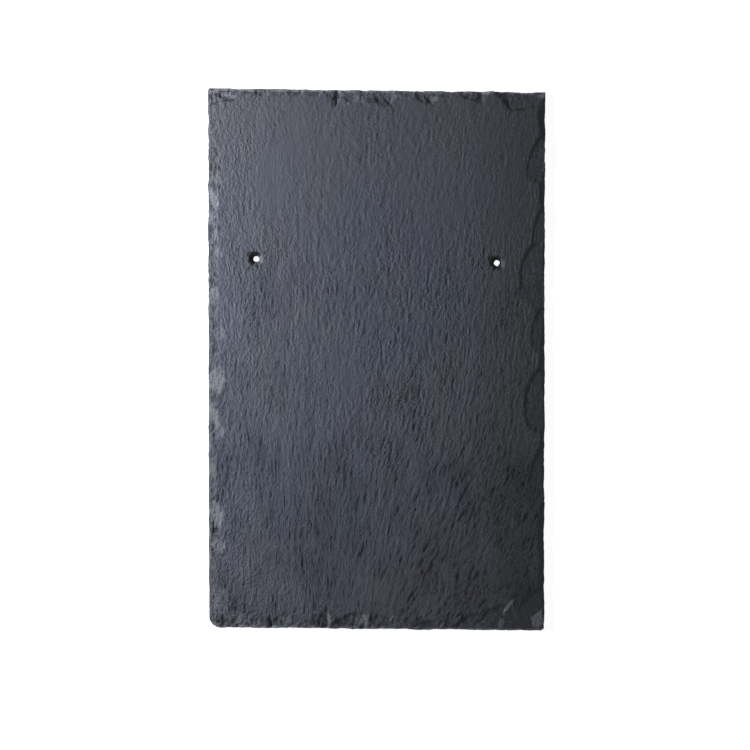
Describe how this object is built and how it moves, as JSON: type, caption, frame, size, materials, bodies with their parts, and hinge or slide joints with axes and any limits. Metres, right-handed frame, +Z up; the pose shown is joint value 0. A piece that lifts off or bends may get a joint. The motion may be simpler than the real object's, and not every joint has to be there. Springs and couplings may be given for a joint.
{
  "type": "cladding slate",
  "caption": "Thin rectangular natural slate with hand-dressed chipped edges and punched nail holes, for covering roofs and walls.",
  "frame": {"origin": "on the resting plane, under the middle of the slate", "axes": "+X across the width to the right, +Y along the length to the head, +Z up out of the dressed face"},
  "size_m": [0.2508, 0.4023, 0.006],
  "materials": {
    "slate": "riven"
  },
  "bodies": {
    "root": {"slate": "slate"}
  },
  "joints": []
}
